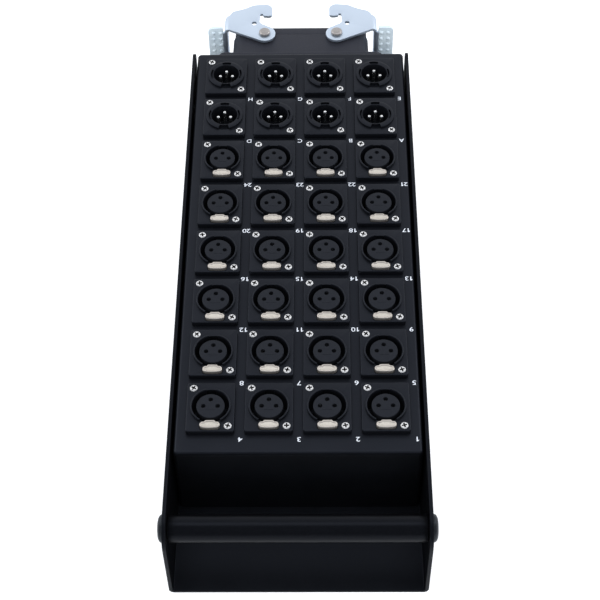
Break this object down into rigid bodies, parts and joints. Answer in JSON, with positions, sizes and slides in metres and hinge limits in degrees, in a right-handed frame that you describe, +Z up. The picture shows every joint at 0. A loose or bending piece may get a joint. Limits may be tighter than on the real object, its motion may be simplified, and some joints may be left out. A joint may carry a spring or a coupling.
{
  "type": "stage box",
  "caption": "Low steel stage box on a folded tray with a carrying handle, latching panel sockets, male connectors and a multipin coupling with locking levers.",
  "frame": {"origin": "centre of the tray's underside", "axes": "+X across the box, to the right seen from the handle; +Y along the box from the handle towards the multipin coupling; +Z up, out of the connector panel"},
  "size_m": [0.144, 0.4026, 0.0628],
  "materials": {
    "tray_paint": "fine-textured satin black powder coat on folded sheet steel",
    "panel_paint": "satin blue-black powder coat on folded sheet steel, white printed numbers",
    "handle_paint": "satin black coated tube",
    "screw_black": "black oxide steel",
    "connector_black": "black coated shell with a satin insert",
    "latch_nickel": "satin champagne nickel plate",
    "housing_grey": "die-cast, dark grey powder coat",
    "gasket_rubber": "matt black sheet rubber",
    "insert_plastic": "moulded light grey plastic",
    "lever_zinc": "bright blue-white zinc plate",
    "loom_jacket": "matt black cable jacket"
  },
  "bodies": {
    "box": {"outer_tray": "tray_paint", "connector_box": "panel_paint", "wiring_loom": "loom_jacket", "handle_bar": "handle_paint", "handle_screw_left": "screw_black", "handle_screw_right": "screw_black", "female_receptacle_01": "connector_black", "female_receptacle_02": "connector_black", "female_receptacle_03": "connector_black", "female_receptacle_04": "connector_black", "female_receptacle_05": "connector_black", "female_receptacle_06": "connector_black", "female_receptacle_07": "connector_black", "female_receptacle_08": "connector_black", "female_receptacle_09": "connector_black", "female_receptacle_10": "connector_black", "female_receptacle_11": "connector_black", "female_receptacle_12": "connector_black", "female_receptacle_13": "connector_black", "female_receptacle_14": "connector_black", "female_receptacle_15": "connector_black", "female_receptacle_16": "connector_black", "female_receptacle_17": "connector_black", "female_receptacle_18": "connector_black", "female_receptacle_19": "connector_black", "female_receptacle_20": "connector_black", "female_receptacle_21": "connector_black", "female_receptacle_22": "connector_black", "female_receptacle_23": "connector_black", "female_receptacle_24": "connector_black", "multipin_gasket": "gasket_rubber", "multipin_housing": "housing_grey", "multipin_insert": "insert_plastic"},
    "latch_01": {"push_latch_01": "latch_nickel"},
    "latch_02": {"push_latch_02": "latch_nickel"},
    "latch_03": {"push_latch_03": "latch_nickel"},
    "latch_04": {"push_latch_04": "latch_nickel"},
    "latch_05": {"push_latch_05": "latch_nickel"},
    "latch_06": {"push_latch_06": "latch_nickel"},
    "latch_07": {"push_latch_07": "latch_nickel"},
    "latch_08": {"push_latch_08": "latch_nickel"},
    "latch_09": {"push_latch_09": "latch_nickel"},
    "latch_10": {"push_latch_10": "latch_nickel"},
    "latch_11": {"push_latch_11": "latch_nickel"},
    "latch_12": {"push_latch_12": "latch_nickel"},
    "latch_13": {"push_latch_13": "latch_nickel"},
    "latch_14": {"push_latch_14": "latch_nickel"},
    "latch_15": {"push_latch_15": "latch_nickel"},
    "latch_16": {"push_latch_16": "latch_nickel"},
    "latch_17": {"push_latch_17": "latch_nickel"},
    "latch_18": {"push_latch_18": "latch_nickel"},
    "latch_19": {"push_latch_19": "latch_nickel"},
    "latch_20": {"push_latch_20": "latch_nickel"},
    "latch_21": {"push_latch_21": "latch_nickel"},
    "latch_22": {"push_latch_22": "latch_nickel"},
    "latch_23": {"push_latch_23": "latch_nickel"},
    "latch_24": {"push_latch_24": "latch_nickel"},
    "lever_left": {"locking_lever_left": "lever_zinc"},
    "lever_right": {"locking_lever_right": "lever_zinc"}
  },
  "joints": [
    {"name": "latch_01_press", "type": "slide", "parent": "box", "child": "latch_01", "axis": [0, 0, -1], "range_m": [0, 0.0012], "stiffness_N_per_m": 1500, "springref_m": -0.001},
    {"name": "latch_02_press", "type": "slide", "parent": "box", "child": "latch_02", "axis": [0, 0, -1], "range_m": [0, 0.0012], "stiffness_N_per_m": 1500, "springref_m": -0.001},
    {"name": "latch_03_press", "type": "slide", "parent": "box", "child": "latch_03", "axis": [0, 0, -1], "range_m": [0, 0.0012], "stiffness_N_per_m": 1500, "springref_m": -0.001},
    {"name": "latch_04_press", "type": "slide", "parent": "box", "child": "latch_04", "axis": [0, 0, -1], "range_m": [0, 0.0012], "stiffness_N_per_m": 1500, "springref_m": -0.001},
    {"name": "latch_05_press", "type": "slide", "parent": "box", "child": "latch_05", "axis": [0, 0, -1], "range_m": [0, 0.0012], "stiffness_N_per_m": 1500, "springref_m": -0.001},
    {"name": "latch_06_press", "type": "slide", "parent": "box", "child": "latch_06", "axis": [0, 0, -1], "range_m": [0, 0.0012], "stiffness_N_per_m": 1500, "springref_m": -0.001},
    {"name": "latch_07_press", "type": "slide", "parent": "box", "child": "latch_07", "axis": [0, 0, -1], "range_m": [0, 0.0012], "stiffness_N_per_m": 1500, "springref_m": -0.001},
    {"name": "latch_08_press", "type": "slide", "parent": "box", "child": "latch_08", "axis": [0, 0, -1], "range_m": [0, 0.0012], "stiffness_N_per_m": 1500, "springref_m": -0.001},
    {"name": "latch_09_press", "type": "slide", "parent": "box", "child": "latch_09", "axis": [0, 0, -1], "range_m": [0, 0.0012], "stiffness_N_per_m": 1500, "springref_m": -0.001},
    {"name": "latch_10_press", "type": "slide", "parent": "box", "child": "latch_10", "axis": [0, 0, -1], "range_m": [0, 0.0012], "stiffness_N_per_m": 1500, "springref_m": -0.001},
    {"name": "latch_11_press", "type": "slide", "parent": "box", "child": "latch_11", "axis": [0, 0, -1], "range_m": [0, 0.0012], "stiffness_N_per_m": 1500, "springref_m": -0.001},
    {"name": "latch_12_press", "type": "slide", "parent": "box", "child": "latch_12", "axis": [0, 0, -1], "range_m": [0, 0.0012], "stiffness_N_per_m": 1500, "springref_m": -0.001},
    {"name": "latch_13_press", "type": "slide", "parent": "box", "child": "latch_13", "axis": [0, 0, -1], "range_m": [0, 0.0012], "stiffness_N_per_m": 1500, "springref_m": -0.001},
    {"name": "latch_14_press", "type": "slide", "parent": "box", "child": "latch_14", "axis": [0, 0, -1], "range_m": [0, 0.0012], "stiffness_N_per_m": 1500, "springref_m": -0.001},
    {"name": "latch_15_press", "type": "slide", "parent": "box", "child": "latch_15", "axis": [0, 0, -1], "range_m": [0, 0.0012], "stiffness_N_per_m": 1500, "springref_m": -0.001},
    {"name": "latch_16_press", "type": "slide", "parent": "box", "child": "latch_16", "axis": [0, 0, -1], "range_m": [0, 0.0012], "stiffness_N_per_m": 1500, "springref_m": -0.001},
    {"name": "latch_17_press", "type": "slide", "parent": "box", "child": "latch_17", "axis": [0, 0, -1], "range_m": [0, 0.0012], "stiffness_N_per_m": 1500, "springref_m": -0.001},
    {"name": "latch_18_press", "type": "slide", "parent": "box", "child": "latch_18", "axis": [0, 0, -1], "range_m": [0, 0.0012], "stiffness_N_per_m": 1500, "springref_m": -0.001},
    {"name": "latch_19_press", "type": "slide", "parent": "box", "child": "latch_19", "axis": [0, 0, -1], "range_m": [0, 0.0012], "stiffness_N_per_m": 1500, "springref_m": -0.001},
    {"name": "latch_20_press", "type": "slide", "parent": "box", "child": "latch_20", "axis": [0, 0, -1], "range_m": [0, 0.0012], "stiffness_N_per_m": 1500, "springref_m": -0.001},
    {"name": "latch_21_press", "type": "slide", "parent": "box", "child": "latch_21", "axis": [0, 0, -1], "range_m": [0, 0.0012], "stiffness_N_per_m": 1500, "springref_m": -0.001},
    {"name": "latch_22_press", "type": "slide", "parent": "box", "child": "latch_22", "axis": [0, 0, -1], "range_m": [0, 0.0012], "stiffness_N_per_m": 1500, "springref_m": -0.001},
    {"name": "latch_23_press", "type": "slide", "parent": "box", "child": "latch_23", "axis": [0, 0, -1], "range_m": [0, 0.0012], "stiffness_N_per_m": 1500, "springref_m": -0.001},
    {"name": "latch_24_press", "type": "slide", "parent": "box", "child": "latch_24", "axis": [0, 0, -1], "range_m": [0, 0.0012], "stiffness_N_per_m": 1500, "springref_m": -0.001},
    {"name": "lever_left_swing", "type": "hinge", "parent": "box", "child": "lever_left", "pos_m": [-0.0235, 0.19809, 0.0299], "axis": [0, 0, 1], "range_deg": [0, 34]},
    {"name": "lever_right_swing", "type": "hinge", "parent": "box", "child": "lever_right", "pos_m": [0.0235, 0.19809, 0.0299], "axis": [0, 0, -1], "range_deg": [0, 34]}
  ]
}
